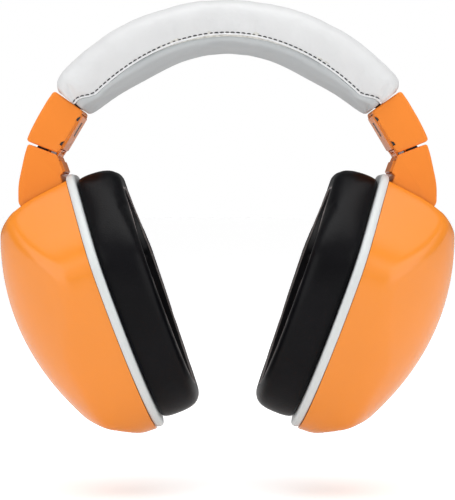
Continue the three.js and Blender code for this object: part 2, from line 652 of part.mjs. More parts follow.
// The cushion's skin is open at the back, where its edge is glued to the plate.
function cushionSkin() {
  return rimRing([
    [CUSHION_OUTSET + 1, CUSHION_BACK], [CUSHION_OUTSET, -7], [CUSHION_OUTSET + 0.2, -11.5],
    [CUSHION_OUTSET + 1.6, -14.6], [CUSHION_OUTSET + 4.4, CUSHION_FACE], [INNER_EDGE - 4, CUSHION_FACE],
    [INNER_EDGE - 1.2, -14.6], [INNER_EDGE, CUSHION_BACK], [INNER_EDGE - SKIN, CUSHION_BACK],
    [INNER_EDGE - 1.9, -13.9], [INNER_EDGE - 4.2, CUSHION_FACE + SKIN],
    [CUSHION_OUTSET + 4.6, CUSHION_FACE + SKIN], [CUSHION_OUTSET + 2.2, -13.9], [CUSHION_OUTSET + 1, -11.3],
    [CUSHION_OUTSET + SKIN, -7], [CUSHION_OUTSET + 1.8, CUSHION_BACK],
  ]);
}

function cushionFoam() {
  const [outer, inner] = [CUSHION_OUTSET + SKIN + GAP, INNER_EDGE - SKIN - GAP];
  const back = PLATE_FACE - GAP;
  return rimRing([
    [outer + 0.8, back], [outer + 0.3, -11], [outer + 3.8, CUSHION_FACE + SKIN + GAP],
    [inner - 3.6, CUSHION_FACE + SKIN + GAP], [inner - 1.2, -13], [inner, back],
  ]);
}

// Sound-damping foam that lines the bottom of the cup.
const acousticFoam = () => cut(cupDome(CUP_WALL + 1.6, 19, 32, 7), box(15, 40, -30, 30, 33.6, 60));

// ---------------------------------------------------------------- assembly
function node(name, geometry, finish) {
  const mesh = new THREE.Mesh(geometry, finish);
  mesh.name = name;
  return mesh;
}

const earmuff = new THREE.Group();
const covers = padCovers();
earmuff.add(
  node("headband_outer_cover", covers.outer, material.whiteCover),
  node("headband_inner_cover", covers.inner, material.greyCover),
  node("headband_foam_pad", padFoam(), material.padFoam),
  node("headband_spring_core", coreStrip(), material.steel),
);

function addSide(side) {
  const half = new THREE.Group();
  half.scale.x = side === "left" ? -1 : 1;
  const add = (parent, name, geometry, finish) => parent.add(node(`${side}_${name}`, geometry, finish));

  add(half, "slider_guide", sliderGuide(), material.blackPlastic);
  add(half, "slider_drag_spring", dragSpring(), material.steel);
  add(half, "guide_rivet", rivet(), material.steel);

  const slide = new THREE.Group();
  slideMatrix.decompose(slide.position, slide.quaternion, slide.scale);
  add(slide, "slide_strip", slideStrip(), material.steel);
  add(slide, "end_block_shell", blockOuter(), material.orange);
  add(slide, "end_block_cover", blockInner(), material.orange);
  BLOCK_SCREWS.forEach((at, i) => add(slide, `end_block_screw_${i + 1}`, blockScrew(at), material.steel));
  add(slide, "fold_hinge_pin", hingePin(), material.steel);

  const cup = new THREE.Group();
  cupMatrix.decompose(cup.position, cup.quaternion, cup.scale);
  add(cup, "arm_shell", armOuter(), material.orange);
  add(cup, "arm_cover", armInner(), material.orange);
  ARM_SCREWS.forEach((at) => add(cup, "arm_screw", armScrew(at), material.steel));
  add(cup, "cup_pivot_pin", pivotPin(), material.steel);
  add(cup, "cup_shell", cupShell(), material.orange);
  add(cup, "cup_trim_ring", trimRing(), material.ring);
  CUP_SCREWS.forEach((at, i) => add(cup, `cup_screw_${i + 1}`, cupScrew(at), material.steel));
  add(cup, "cushion_plate", cushionPlate(), material.blackPlastic);
  add(cup, "cushion_skin", cushionSkin(), material.blackCover);
  add(cup, "cushion_foam", cushionFoam(), material.foam);
  add(cup, "acoustic_foam", acousticFoam(), material.foam);

  half.add(slide, cup);
  earmuff.add(half);
}

addSide("left");
addSide("right");

export default earmuff;
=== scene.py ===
"""Looks of a child's earmuff hearing protector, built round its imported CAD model.

Everything is worked out in millimetres in the model's frame, for the right half (+X).
The left half mirrors it.
"""

import json
import math

import bmesh
import bpy
import numpy as np
from mathutils import Matrix, Vector, noise


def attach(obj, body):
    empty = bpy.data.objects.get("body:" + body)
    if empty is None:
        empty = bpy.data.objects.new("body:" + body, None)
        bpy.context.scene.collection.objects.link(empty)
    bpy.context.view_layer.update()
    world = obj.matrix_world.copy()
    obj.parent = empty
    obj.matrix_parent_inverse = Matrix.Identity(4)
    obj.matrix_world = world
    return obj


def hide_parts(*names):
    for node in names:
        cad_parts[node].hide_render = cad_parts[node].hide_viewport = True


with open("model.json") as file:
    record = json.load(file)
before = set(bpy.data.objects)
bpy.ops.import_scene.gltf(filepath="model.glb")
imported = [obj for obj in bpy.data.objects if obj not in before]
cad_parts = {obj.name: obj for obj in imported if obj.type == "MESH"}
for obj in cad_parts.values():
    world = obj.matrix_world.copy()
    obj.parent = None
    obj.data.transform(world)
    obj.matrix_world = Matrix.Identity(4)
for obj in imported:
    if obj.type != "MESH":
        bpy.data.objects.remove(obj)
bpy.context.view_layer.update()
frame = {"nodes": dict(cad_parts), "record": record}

MM = 0.001
SIDES = {"right": 1, "left": -1}
COLLECTION = bpy.context.scene.collection


# ------------------------------------------------------------------ camera, light and floor
def camera():
    data = bpy.data.cameras.new("camera")
    data.lens = 125
    data.sensor_width = 36
    data.clip_end = 50
    obj = bpy.data.objects.new("camera", data)
    obj.location = (0, -0.62, -0.0576)
    obj.rotation_euler = (math.radians(90 - 1.25), 0, 0)
    COLLECTION.objects.link(obj)
    bpy.context.scene.camera = obj


def area_light(name, location, target, size, power):
    data = bpy.data.lights.new(name, "AREA")
    data.shape = "RECTANGLE"
    data.size, data.size_y = size
    data.energy = power
    obj = bpy.data.objects.new(name, data)
    obj.location = location
    obj.rotation_euler = (Vector(target) - Vector(location)).to_track_quat("-Z", "Y").to_euler()
    COLLECTION.objects.link(obj)


FLOOR_Z = -0.1575
FRONT_LIGHT, BACK_LIGHT = 0.06, 0.2
FLOOR_GLOW = 0.47
BOUNCE = 0.25  # share of the floor's glow that lights the object; the camera sees all of it
SUN_POWER, SUN_ANGLE = 1.5, 60


def studio():
    """A plain pale floor, light from all round, a wide sun overhead and four softboxes."""
    scene = bpy.context.scene
    scene.view_settings.view_transform = "Standard"
    world = bpy.data.worlds.new("studio")
    world.use_nodes = True
    nodes, links = world.node_tree.nodes, world.node_tree.links
    background = nodes["Background"]
    background.inputs["Color"].default_value = (1, 1, 1, 1)
    direction = nodes.new("ShaderNodeSeparateXYZ")
    links.new(nodes.new("ShaderNodeTexCoord").outputs["Generated"], direction.inputs["Vector"])
    dim = nodes.new("ShaderNodeMapRange")
    dim.inputs["From Min"].default_value = -0.1
    dim.inputs["From Max"].default_value = 0.7
    dim.inputs["To Min"].default_value = FRONT_LIGHT
    dim.inputs["To Max"].default_value = BACK_LIGHT
    links.new(direction.outputs["Y"], dim.inputs["Value"])
    rays = nodes.new("ShaderNodeLightPath")
    strength = nodes.new("ShaderNodeMix")
    links.new(rays.outputs["Is Camera Ray"], strength.inputs["Factor"])
    links.new(dim.outputs["Result"], strength.inputs["A"])
    strength.inputs["B"].default_value = 1.0
    links.new(strength.outputs["Result"], background.inputs["Strength"])
    scene.world = world

    area_light("key_top", (0.0, -0.13, 0.7), (0, 0, -0.06), (1.3, 0.34), 2.2)
    sun = bpy.data.lights.new("sky_top", "SUN")
    sun.energy = SUN_POWER
    sun.angle = math.radians(SUN_ANGLE)
    sky = bpy.data.objects.new("sky_top", sun)
    sky.location = (0, 0, 1)
    COLLECTION.objects.link(sky)
    area_light("front_top", (0.0, -0.74, 0.34), (0, 0, -0.06), (1.5, 0.75), 2.3)
    area_light("front_left", (-1.0, -0.5, 0.1), (0, 0, -0.07), (0.9, 1.2), 6.3)
    area_light("front_right", (1.0, -0.5, 0.1), (0, 0, -0.07), (0.9, 1.2), 6.3)

    bpy.ops.mesh.primitive_plane_add(size=60, location=(0, 0, FLOOR_Z))
    floor = bpy.context.object
    floor.name = "floor"
    floor.data.materials.append(floor_material())


def floor_material():
    """Plain white floor, the same all over, that glows a little; the object's shadow on it is cast."""
    mat, nodes, links, shader = new_material("floor")
    shader.inputs["Base Color"].default_value = (0.9, 0.9, 0.9, 1)
    shader.inputs["Roughness"].default_value = 0.9
    shader.inputs["Specular IOR Level"].default_value = 0.0
    shader.inputs["Emission Color"].default_value = (1, 1, 1, 1)
    share = nodes.new("ShaderNodeMapRange")
    share.inputs["To Min"].default_value = BOUNCE * FLOOR_GLOW
    share.inputs["To Max"].default_value = FLOOR_GLOW
    links.new(nodes.new("ShaderNodeLightPath").outputs["Is Camera Ray"], share.inputs["Value"])
    links.new(share.outputs["Result"], shader.inputs["Emission Strength"])
    return mat


# ------------------------------------------------------------------ materials
def new_material(name):
    mat = bpy.data.materials.new(name)
    mat.use_nodes = True
    nodes, links = mat.node_tree.nodes, mat.node_tree.links
    return mat, nodes, links, nodes["Principled BSDF"]


def noise_node(nodes, links, vector, scale, detail=3.0, roughness=0.5):
    node = nodes.new("ShaderNodeTexNoise")
    node.inputs["Scale"].default_value = scale
    node.inputs["Detail"].default_value = detail
    node.inputs["Roughness"].default_value = roughness
    links.new(vector, node.inputs["Vector"])
    return node.outputs["Fac"]


def ramp(nodes, links, factor, stops):
    node = nodes.new("ShaderNodeValToRGB")
    elements = node.color_ramp.elements
    while len(elements) < len(stops):
        elements.new(0.5)
    for element, (position, color) in zip(elements, stops):
        element.position = position
        element.color = (*color, 1)
    links.new(factor, node.inputs["Fac"])
    return node.outputs["Color"]


def bump(nodes, links, height, distance, strength=1.0, normal=None):
    node = nodes.new("ShaderNodeBump")
    node.inputs["Distance"].default_value = distance
    node.inputs["Strength"].default_value = strength
    links.new(height, node.inputs["Height"])
    if normal is not None:
        links.new(normal, node.inputs["Normal"])
    return node.outputs["Normal"]


def map_range(nodes, links, value, low, high):
    node = nodes.new("ShaderNodeMapRange")
    node.inputs["To Min"].default_value = low
    node.inputs["To Max"].default_value = high
    links.new(value, node.inputs["Value"])
    return node.outputs["Result"]


def object_coordinates(nodes):
    return nodes.new("ShaderNodeTexCoord").outputs["Object"]


COLOR_VARIATION, SPECKLE = 0.04, 0.00002


def plastic(name, color, roughness, specular=0.5):
    """Moulded plastic: an almost even colour, a skin with fine texture, and slow waves."""
    mat, nodes, links, shader = new_material(name)
    coords = object_coordinates(nodes)
    patches = noise_node(nodes, links, coords, 18, 2)
    dark = tuple(c * (1 - COLOR_VARIATION) for c in color)
    light = tuple(min(1, c * (1 + COLOR_VARIATION)) for c in color)
    links.new(ramp(nodes, links, patches, [(0.3, dark), (0.7, light)]), shader.inputs["Base Color"])
    fine = noise_node(nodes, links, coords, 2600, 2)
    rough = map_range(nodes, links, fine, roughness * 0.85, roughness * 1.15)
    links.new(rough, shader.inputs["Roughness"])
    waves = noise_node(nodes, links, coords, 45, 1)
    first = bump(nodes, links, waves, 0.00012, 0.35)
    links.new(bump(nodes, links, fine, SPECKLE, 0.6, first), shader.inputs["Normal"])
    shader.inputs["IOR"].default_value = 1.5
    shader.inputs["Specular IOR Level"].default_value = specular
    return mat


LEATHER_GRAIN, LEATHER_CRUMPLE = 0.00006, 0.0003


def leather(name, dark, light, roughness, specular=0.5):
    """Synthetic leather: a cell-like grain, finer pores and soft wrinkles."""
    mat, nodes, links, shader = new_material(name)
    coords = object_coordinates(nodes)
    patches = noise_node(nodes, links, coords, 60, 4)
    links.new(ramp(nodes, links, patches, [(0.3, dark), (0.7, light)]), shader.inputs["Base Color"])
    cells = nodes.new("ShaderNodeTexVoronoi")
    cells.feature = "DISTANCE_TO_EDGE"
    cells.inputs["Scale"].default_value = 1100
    links.new(coords, cells.inputs["Vector"])
    pores = noise_node(nodes, links, coords, 3200, 2)
    folds = noise_node(nodes, links, coords, 90, 3, 0.6)
    first = bump(nodes, links, folds, LEATHER_CRUMPLE, 0.5)
    second = bump(nodes, links, cells.outputs["Distance"], LEATHER_GRAIN, 0.7, first)
    links.new(bump(nodes, links, pores, LEATHER_GRAIN / 2, 0.5, second), shader.inputs["Normal"])
    rough = map_range(nodes, links, pores, roughness * 0.88, roughness * 1.12)
    links.new(rough, shader.inputs["Roughness"])
    shader.inputs["Specular IOR Level"].default_value = specular
    return mat


def foam(name, dark, light):
    mat, nodes, links, shader = new_material(name)
    coords = object_coordinates(nodes)
    cells = nodes.new("ShaderNodeTexVoronoi")
    cells.inputs["Scale"].default_value = 900
    links.new(coords, cells.inputs["Vector"])
    color = ramp(nodes, links, cells.outputs["Distance"], [(0.1, dark), (0.6, light)])
    links.new(color, shader.inputs["Base Color"])
    links.new(bump(nodes, links, cells.outputs["Distance"], 0.0004, 0.9), shader.inputs["Normal"])
    shader.inputs["Roughness"].default_value = 0.95
    return mat


def steel(name):
    mat, nodes, links, shader = new_material(name)
    coords = object_coordinates(nodes)
    stretch = nodes.new("ShaderNodeMapping")
    stretch.inputs["Scale"].default_value = (1, 30, 1)
    links.new(coords, stretch.inputs["Vector"])
    lines = noise_node(nodes, links, stretch.outputs["Vector"], 400, 3)
    links.new(ramp(nodes, links, lines, [(0.3, (0.5, 0.51, 0.53)), (0.7, (0.62, 0.63, 0.65))]),
              shader.inputs["Base Color"])
    links.new(map_range(nodes, links, lines, 0.25, 0.42), shader.inputs["Roughness"])
    shader.inputs["Metallic"].default_value = 1
    return mat


MATERIALS = {
    "orange_plastic": plastic("orange_plastic", (0.87, 0.265, 0.024), 0.25),
    "orange_satin": plastic("orange_satin", (0.86, 0.245, 0.034), 0.32, specular=0.15),
    "trim_plastic": plastic("trim_plastic", (0.66, 0.69, 0.69), 0.42),
    "black_plastic": plastic("black_plastic", (0.02, 0.02, 0.022), 0.55),
    "white_leatherette": leather("white_leatherette", (0.67, 0.675, 0.68), (0.71, 0.715, 0.72), 0.55),
    "grey_leatherette": leather("grey_leatherette", (0.46, 0.48, 0.49), (0.5, 0.52, 0.53), 0.5),
    "black_leatherette": leather("black_leatherette", (0.0016, 0.0015, 0.0022),
                                 (0.0032, 0.003, 0.0042), 0.36, specular=0.11),
    # The welt is a seam ridge; its lighter brown-grey colour is a painted highlight along the rim of the
    # cushion's hole.
    "welt_seam_painted_highlight": leather("welt_seam_painted_highlight", (0.17, 0.145, 0.14), (0.24, 0.205, 0.2), 0.45),
    "cushion_foam": foam("cushion_foam", (0.012, 0.012, 0.013), (0.035, 0.034, 0.036)),
    "pad_foam": foam("pad_foam", (0.5, 0.49, 0.45), (0.7, 0.69, 0.65)),
    "spring_steel": steel("spring_steel"),
    "stitch_thread": leather("stitch_thread", (0.012, 0.012, 0.014), (0.03, 0.03, 0.035), 0.7),
    "white_piping": leather("white_piping", (0.78, 0.79, 0.8), (0.86, 0.87, 0.88), 0.45),
}


# ------------------------------------------------------------------ mesh helpers
def finish_piece(obj, slot, body, replaced=()):
    obj.data.materials.clear()
    obj.data.materials.append(MATERIALS[slot])
    if replaced:
        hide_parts(*replaced)
    if body:
        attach(obj, body)
    return obj


def new_object(name, verts, faces, side=1):
    """A mesh object from points in millimetres, mirrored if side is -1, with its normals facing out."""
    points = np.array(verts, float) * MM
    points[:, 0] *= side
    mesh = bpy.data.meshes.new(name)
    mesh.from_pydata(points.tolist(), [], faces)
    bm = bmesh.new()
    bm.from_mesh(mesh)
    bmesh.ops.recalc_face_normals(bm, faces=bm.faces)
    bm.to_mesh(mesh)
    bm.free()
    mesh.polygons.foreach_set("use_smooth", [True] * len(mesh.polygons))
    obj = bpy.data.objects.new(name, mesh)
    COLLECTION.objects.link(obj)
    return obj


def grid_faces(count, width, loop=False, caps=False, wrap=True):
    """Faces through count rows of width points."""
    faces = []
    for i in range(count if loop else count - 1):
        a, b = i * width, (i + 1) % count * width
        for j in range(width if wrap else width - 1):
            k = (j + 1) % width
            faces.append((a + j, a + k, b + k, b + j))
    if caps:
        faces.append(tuple(range(width)))
        faces.append(tuple(range((count - 1) * width, count * width)))
    return faces


def chaikin(points, times=2):
    """Rounds a closed polygon by cutting its corners."""
    p = np.array(points, float)
    for _ in range(times):
        q = np.roll(p, -1, axis=0)
        p = np.stack([p * 0.75 + q * 0.25, p * 0.25 + q * 0.75], axis=1).reshape(-1, p.shape[1])
    return p


def carve(obj, cutters, operation="DIFFERENCE"):
    """Applies a boolean with each cutter, and removes the cutters."""
    for cutter in cutters:
        modifier = obj.modifiers.new("carve", "BOOLEAN")
        modifier.operation = operation
        modifier.object = cutter
        modifier.solver = "EXACT"
    apply_modifiers(obj)
    for cutter in cutters:
        bpy.data.objects.remove(cutter)


def apply_modifiers(obj):
    evaluated = obj.evaluated_get(bpy.context.evaluated_depsgraph_get())
    mesh = bpy.data.meshes.new_from_object(evaluated)
    old = obj.data
    obj.modifiers.clear()
    obj.data = mesh
    bpy.data.meshes.remove(old)


def crease_normals(obj, angle=35):
    """Smooth shading that keeps edges sharper than the angle."""
    mesh = obj.data
    mesh.polygons.foreach_set("use_smooth", [True] * len(mesh.polygons))
    mesh.set_sharp_from_angle(angle=math.radians(angle))


def prism(name, outline, y0, y1, bevel, matrix, side=1, segments=3):
    """A plate drawn in x and z with its edges rounded, put in place by a matrix in millimetres."""
    n = len(outline)
    local = [(x, y, z) for y in (y0, y1) for x, z in outline]
    verts = [tuple(matrix @ Vector(p)) for p in local]
    faces = [tuple(range(n)), tuple(range(n, 2 * n))]
    faces += [(i, (i + 1) % n, n + (i + 1) % n, n + i) for i in range(n)]
    obj = new_object(name, verts, faces, side)
    if bevel:
        modifier = obj.modifiers.new("bevel", "BEVEL")
        modifier.width = bevel * MM
        modifier.segments = segments
        modifier.limit_method = "ANGLE"
        modifier.angle_limit = math.radians(50)
        modifier.harden_normals = False
        apply_modifiers(obj)
    crease_normals(obj)
    return obj


CORNER_STEPS = 5


def rounded(corners, radius):
    """A polygon with its corners rounded to the radius, or to each corner's own third value."""
    points = [Vector(c[:2]) for c in corners]
    result = []
    for i, p in enumerate(points):
        before = points[i - 1] - p
        after = points[(i + 1) % len(points)] - p
        wanted = corners[i][2] if len(corners[i]) > 2 else radius
        reach = min(wanted, before.length / 2.1, after.length / 2.1)
        start, end = p + before.normalized() * reach, p + after.normalized() * reach
        for k in range(CORNER_STEPS + 1):
            t = k / CORNER_STEPS
            result.append(tuple(start * (1 - t) ** 2 + p * 2 * t * (1 - t) + end * t * t))
    return result


# ------------------------------------------------------------------ cup surface
CUP_WIDEST_Z = 9.5
CUP_HALF_WIDTH, CUP_RISE, CUP_DROP, CUP_TOP = 38, 42, 56.5, 37
CUP_WALL = 2.4
DRAFT = 0.12
CHIN = 1.15
SIDE_POWER_UP, SIDE_POWER_DOWN = 2, 1.75
SHOULDER, SHOULDER_Y, SHOULDER_Z = 34.1, 0.752, 0.659  # distance and direction of the shoulder line
CROWN_X, CROWN_Z = 34.4, 7.25  # highest place of the dome
DOME_R, DOME_R_ACROSS = 79, 28.5
TOP_BEVEL, BOTTOM_BEVEL = (0.41, 0.912, 46.4), (0.559, 0.829, 43.1)  # slopes and distance of a plane
FADE_START, FADE_LENGTH = 5, 25  # the crease fades below this height
CUP_MATRIX = Matrix.Translation((41.35, 0, -89.55)) @ Matrix.Rotation(math.radians(19.5), 4, "Y")


def smooth_min(a, b, k):
    h = np.maximum(k - np.abs(a - b), 0)
    return np.minimum(a, b) - h * h / (4 * k)


def smooth_max(a, b, k):
    return -smooth_min(-a, -b, k)


def rim_radius(theta):
    """Distance from the cup's widest place to its rim. Theta 0 is +Y, and 90 degrees is up."""
    c, s = np.abs(np.cos(theta)), np.sin(theta)
    power = np.where(s > 0, SIDE_POWER_UP, SIDE_POWER_DOWN)
    height = np.where(s > 0, CUP_RISE, CUP_DROP)
    side = ((c / CUP_HALF_WIDTH) ** power + np.abs(s / height) ** power) ** (-1 / power)
    top = CUP_TOP / np.maximum(s, 0.1) + np.where(s > 0.1, 0, 1000)
    lean = SHOULDER_Y * c + SHOULDER_Z * s
    shoulder = SHOULDER / np.maximum(lean, 0.1) + np.where(lean > 0.1, 0, 1000)
    return smooth_min(smooth_min(side, shoulder, 5), top, 3)


def cup_distance(x, y, z):
    """How far a point lies outside the cup's outer surface, in the cup's frame.

    A side wall with a little draft meets a dome in a crease that is sharp round the top and
    fades towards the bottom. Two planes bevel the dome at its top and its bottom."""
    up = z - CUP_WIDEST_Z
    r = np.hypot(y, up)
    theta = np.arctan2(up, np.abs(y))
    low = np.maximum(0, -np.sin(theta))
    wall = r - rim_radius(theta) - CHIN * low**6 + DRAFT * (1 - low) * x
    along_z, across = (z - CROWN_Z) / DOME_R, y / DOME_R_ACROSS
    height = CROWN_X - (along_z * (z - CROWN_Z) + across * y) / 2
    dome = (x - height) / np.sqrt(1 + along_z**2 + across**2)
    top = TOP_BEVEL[0] * x + TOP_BEVEL[1] * z - TOP_BEVEL[2]
    bottom = BOTTOM_BEVEL[0] * x - BOTTOM_BEVEL[1] * z - BOTTOM_BEVEL[2]
    face = smooth_max(smooth_max(dome, top, 3), bottom, 1.5)
    t = np.clip((FADE_START - z) / FADE_LENGTH, 0, 1)
    return smooth_max(wall, face, 2 - 0.8 * low + 9 * t * t * (3 - 2 * t) * (1 - low**4))


def cup_dome(inset, base, around, rings):
    """Rows of points over the cup, from its rim to its crown."""
    theta = 2 * np.pi * (np.arange(around) + 0.5) / around
    rows = []
    for i in range(rings + 1):
        phi = np.pi / 2 * (1 - i / rings) + 1e-6
        up, out = math.cos(phi), math.sin(phi)
        d = np.stack([np.full(around, up), out * np.cos(theta), out * np.sin(theta)])
        near, far = np.zeros(around), np.full(around, 90.0)
        for _ in range(34):
            middle = (near + far) / 2
            p = d * middle
            outside = cup_distance(p[0] + base, p[1], p[2] + CUP_WIDEST_Z) + inset > 0
            far = np.where(outside, middle, far)
            near = np.where(outside, near, middle)
        rows.append((d * near).T + [base, 0, CUP_WIDEST_Z])
    return np.array(rows)


def in_cup(points):
    """From the cup's frame to the model's."""
    points = np.asarray(points, float)
    m = np.array(CUP_MATRIX)
    return points @ m[:3, :3].T + m[:3, 3]


def ring_rows(section, around=192):
    """Rows of a ring round the cup. The section holds insets from the outline, and depths x."""
    theta = 2 * np.pi * (np.arange(around) + 0.5) / around
    rim = rim_radius(theta)
    inset, x = np.array(section, float).T
    r = rim[:, None] - inset
    rows = np.stack([
        np.broadcast_to(x, r.shape),
        r * np.cos(theta)[:, None],
        CUP_WIDEST_Z + r * np.sin(theta)[:, None],
    ], axis=2)
    return in_cup(rows)


def build_cup(name, side):
    rows = in_cup(cup_dome(0, 0, 160, 64))
    rows = rows[:-1]
    n, m = rows.shape[:2]
    verts = rows.reshape(-1, 3)
    crown = in_cup([cup_dome(0, 0, 4, 1)[-1][0]])
    faces = grid_faces(n, m)
    faces += [(n * m - m + j, n * m - m + (j + 1) % m, n * m) for j in range(m)]
    outer = new_object(f"{name}_cup", np.vstack([verts, crown]), faces, side)
    solidify = outer.modifiers.new("wall", "SOLIDIFY")
    solidify.thickness = CUP_WALL * MM
    solidify.offset = -1
    apply_modifiers(outer)
    return outer


# ------------------------------------------------------------------ soft goods
CLOTH_FRAMES = 20
CLOTH_SCALE = 10  # the cloth is simulated ten times as large


def inflate(points, faces, pinned, pressure, growth, cap):
    """Runs a cloth simulation on a closed mesh under pressure, and returns its points, in millimetres.

    Pinned points hold still, and no other moves further than the cap."""
    points = np.asarray(points, float)
    mesh = bpy.data.meshes.new("cloth")
    mesh.from_pydata((points * MM * CLOTH_SCALE).tolist(), [], faces)
    bm = bmesh.new()
    bm.from_mesh(mesh)
    bmesh.ops.recalc_face_normals(bm, faces=bm.faces)
    bm.to_mesh(mesh)
    bm.free()
    obj = bpy.data.objects.new("cloth", mesh)
    COLLECTION.objects.link(obj)
    group = obj.vertex_groups.new(name="pin")
    group.add([int(i) for i in pinned], 1.0, "REPLACE")
    modifier = obj.modifiers.new("cloth", "CLOTH")
    settings = modifier.settings
    settings.quality = 6
    settings.mass = 0.3
    settings.use_pressure = True
    settings.uniform_pressure_force = pressure
    settings.shrink_min = -growth
    settings.tension_stiffness = settings.compression_stiffness = 12
    settings.shear_stiffness = 6
    settings.bending_stiffness = 0.4
    settings.vertex_group_mass = "pin"
    settings.effector_weights.gravity = 0
    modifier.collision_settings.use_collision = False
    modifier.point_cache.frame_start, modifier.point_cache.frame_end = 1, CLOTH_FRAMES
    scene = bpy.context.scene
    for frame_number in range(1, CLOTH_FRAMES + 1):
        scene.frame_set(frame_number)
    result = obj.evaluated_get(bpy.context.evaluated_depsgraph_get()).to_mesh()
    moved = np.empty(len(result.vertices) * 3)
    result.vertices.foreach_get("co", moved)
    scene.frame_set(1)
    bpy.data.objects.remove(obj)
    move = moved.reshape(-1, 3) / (MM * CLOTH_SCALE) - points
    length = np.linalg.norm(move, axis=1, keepdims=True)
    return points + move * cap * np.tanh(length / cap) / np.maximum(length, 1e-6)


PAD_OUTER_R, PAD_INNER_R, SEAM_R = 80.9, 64.7, 68.2
PAD_END = math.radians(50.25)
ARCH_Z = -64.2
PAD_COLUMNS = 150
PAD_CROWDING = math.radians(78)  # sections lie closer together towards the ends
UPPER, LOWER = 46, 30  # points round the white and the grey part of a section
SEAM_DEPTH = 2.3


def smooth_step(value, low, high):
    t = min(1.0, max(0.0, (value - low) / (high - low)))
    return t * t * (3 - 2 * t)


def on_arch(r, y, angle):
    return r * math.sin(angle), y, ARCH_Z + r * math.cos(angle)


def pad_section(angle):
    """Half width, radius of the seam, and heights above and below it, of a section of the headband."""
    degrees = abs(math.degrees(angle))
    along = abs(angle) / PAD_END
    end = math.sqrt(max(0, 1 - max(0, (along - 0.9) / 0.1) ** 2.4))
    half_width = (18.5 - 4 * along**3) * (0.84 + 0.16 * end)
    seam = SEAM_R - 2.0 * smooth_step(degrees, 0, 42) + 3.4 * smooth_step(degrees, 43.3, 49.0)
    flank = math.exp(-(((degrees - 28.5) / 13.5) ** 2))
    up = (PAD_OUTER_R - seam) * (0.70 + 0.30 * end)
    down = (seam - PAD_INNER_R + 2.0 * flank) * (0.72 + 0.28 * end)
    return half_width, seam, up, down


def quarter(t, power):
    """A quarter of a superellipse, from (1, 0) at t = 0 to (0, 1) at t = 1."""
    c, s = math.cos(t * math.pi / 2), math.sin(t * math.pi / 2)
    return max(c, 0) ** (2 / power), max(s, 0) ** (2 / power)


def pad_row(angle):
    """A section of the pad: from the back seam over the top to the front seam, and back underneath."""
    half_width, seam, up, down = pad_section(angle)
    lean = 1 + 0.0009 * (abs(angle) / PAD_END) ** 8 * np.array([up, -down])

    def profile(count, height, sign, waist, width, top_power):
        points = []
        for i in range(count // 2):
            t = 2 * i / count
            split = 0.42
            if t < split:
                q = t / split
                a, b = quarter(q, 2.2)
                y = half_width - SEAM_DEPTH + (width - half_width + SEAM_DEPTH) * b
                h = waist * height * (1 - a)
            else:
                a, b = quarter((t - split) / (1 - split), top_power)
                y = width * a
                h = height * (waist + (1 - waist) * b)
            points.append((y, sign * h))
        rest = [(-y, h) for y, h in reversed(points[1:])]
        return points + [(0.0, sign * height)] + rest

    upper = profile(UPPER, up, 1, 0.42, half_width, 2.5)
    lower = profile(LOWER, down, -1, 0.45, half_width - 0.7, 3.2)
    row = [(y, h, lean[0]) for y, h in upper] + [(-y, h, lean[1]) for y, h in lower]
    return [on_arch(seam + h, y, angle * (1 + (k - 1))) for y, h, k in row]


def wrinkle(points, normals):
    """Small creases that run out from the seam, and slow dents, as the leatherette has."""
    moved = points.copy()
    for i, (p, n) in enumerate(zip(points, normals)):
        angle = math.atan2(p[0], p[2] - ARCH_Z)
        r = math.hypot(p[0], p[2] - ARCH_Z)
        above = max(0.0, r - pad_section(angle)[1])
        near = math.exp(-above / 9) * min(1.0, above / 1.5)
        creases = noise.noise(Vector((angle * 17, 3.1 * math.copysign(1, p[1]), above * 0.03)))
        dents = noise.noise(Vector((angle * 9, p[1] * 0.045, above * 0.04)))
        moved[i] = p + n * (0.85 * near * creases + 0.3 * dents * min(1.0, above / 4))
    return moved


def headband():
    steps = np.linspace(-1, 1, PAD_COLUMNS)
    angles = PAD_END * np.sin(steps * PAD_CROWDING) / math.sin(PAD_CROWDING)
    rows = np.array([pad_row(a) for a in angles])
    n, m = rows.shape[:2]
    points = rows.reshape(-1, 3)
    faces = grid_faces(n, m, caps=True)
    seam_columns = (0, UPPER - 1)
    pinned = [i * m + (j + k) % m for i in range(n) for j in seam_columns for k in (-1, 0, 1)]
    pinned += list(range(m)) + list(range((n - 1) * m, n * m))
    points = inflate(points, faces, sorted(set(pinned)), pressure=PAD_PRESSURE, growth=0.01, cap=0.9)
    shape = new_object("shape", points, faces)
    normals = np.array([v.normal[:] for v in shape.data.vertices])
    bpy.data.objects.remove(shape)
    points = wrinkle(points, normals)
    rows = points.reshape(n, m, 3)
    for part, columns, slot, node in (
        ("outer", range(UPPER), "white_leatherette", "headband_outer_cover"),
        ("inner", range(UPPER - 1, m + 1), "grey_leatherette", "headband_inner_cover"),
    ):
        index = [k % m for k in columns]
        half = rows[:, index]
        width = len(index)
        grid = grid_faces(n, width, wrap=False)
        grid.append(tuple(range(width)))
        grid.append(tuple(range((n - 1) * width, n * width)))
        piece = new_object(f"headband_{part}", half.reshape(-1, 3), grid)
        crease_normals(piece, 60)
        finish_piece(piece, slot, "headband", [node])
    return rows


def tube(path, radius, sides=8):
    """Points and faces of a closed tube along a path, in millimetres."""
    path = np.asarray(path, float)
    tangents = np.gradient(path, axis=0)
    tangents /= np.linalg.norm(tangents, axis=1, keepdims=True)
    normal = np.array([0, -1.0, 0])
    rows = []
    for p, t in zip(path, tangents):
        side = np.cross(t, normal)
        side /= np.linalg.norm(side)
        out = np.cross(side, t)
        ring = [p + radius * (math.cos(a) * side + math.sin(a) * out)
                for a in np.linspace(0, 2 * math.pi, sides, endpoint=False)]
        rows.append(ring)
    rows = np.array(rows)
    return rows.reshape(-1, 3), grid_faces(len(rows), sides, caps=True)


def merge(parts):
    """One list of points and faces from several."""
    points, faces, start = [], [], 0
    for verts, polygons in parts:
        points.append(verts)
        faces += [tuple(start + k for k in face) for face in polygons]
        start += len(verts)
    return np.vstack(points), faces


